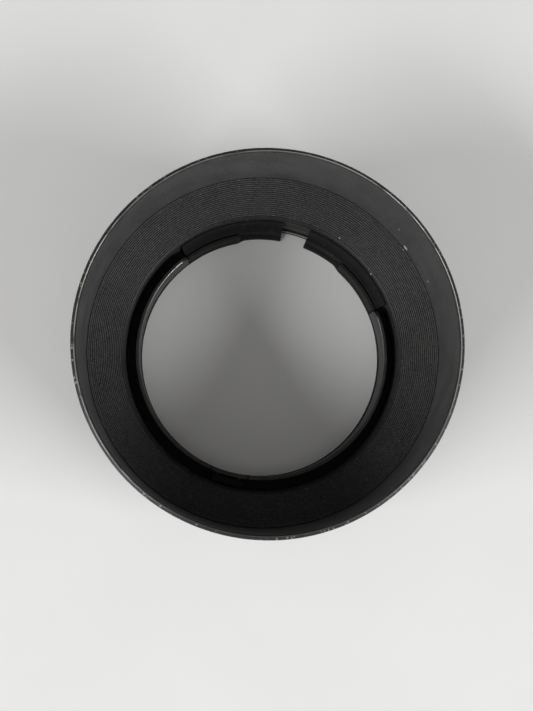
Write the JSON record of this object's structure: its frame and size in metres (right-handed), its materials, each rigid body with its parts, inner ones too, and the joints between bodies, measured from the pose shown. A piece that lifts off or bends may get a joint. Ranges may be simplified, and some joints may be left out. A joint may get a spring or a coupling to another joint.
{
  "type": "lens hood",
  "caption": "Black metal lens hood: a round shade with a ribbed funnel inside, a notched push-and-twist rear mount and a springy grip band.",
  "frame": {"origin": "on the optical axis at the rear face, which the hood stands on", "axes": "+Z along the optical axis towards the mouth, +Y through the middle of the key notch, +X to the right seen from above with the notch up"},
  "size_m": [0.0826, 0.0826, 0.0365],
  "materials": {
    "black_barrel": "satin black anodised, worn bright along the rim",
    "black_baffle": "matt black anti-reflection finish over fine turned ribs",
    "spring_metal": "blackened spring metal, rubbed bright on the top edge",
    "screw_steel": "blued steel",
    "index_enamel": "white enamel"
  },
  "bodies": {
    "hood": {"front_barrel": "black_barrel", "ribbed_baffle": "black_baffle", "rear_collar": "black_barrel", "mount_ring": "black_barrel", "stop_segment_left": "black_baffle", "stop_segment_right": "black_baffle", "band_root": "spring_metal", "root_block": "black_barrel", "root_rivet_1": "screw_steel", "root_rivet_2": "screw_steel", "block_screw_1": "screw_steel", "block_screw_2": "screw_steel", "segment_screw_1": "screw_steel", "segment_screw_2": "screw_steel", "segment_screw_3": "screw_steel", "segment_screw_4": "screw_steel", "collar_screw_1": "screw_steel", "collar_screw_2": "screw_steel", "collar_screw_3": "screw_steel", "collar_screw_4": "screw_steel", "grub_screw_1": "screw_steel", "grub_screw_2": "screw_steel", "grub_screw_3": "screw_steel", "index_dot": "index_enamel"},
    "left_arm": {"grip_arm_left": "spring_metal"},
    "right_arm": {"grip_arm_right": "spring_metal"}
  },
  "joints": [
    {"name": "right_arm_flex", "type": "hinge", "parent": "hood", "child": "right_arm", "pos_m": [0.00442, -0.02886, 0.0019], "axis": [0, 0, -1], "range_deg": [0, 2], "stiffness_Nm_per_rad": 1.5},
    {"name": "left_arm_flex", "type": "hinge", "parent": "hood", "child": "left_arm", "pos_m": [-0.00442, -0.02886, 0.0019], "axis": [0, 0, 1], "range_deg": [0, 2], "stiffness_Nm_per_rad": 1.5}
  ]
}
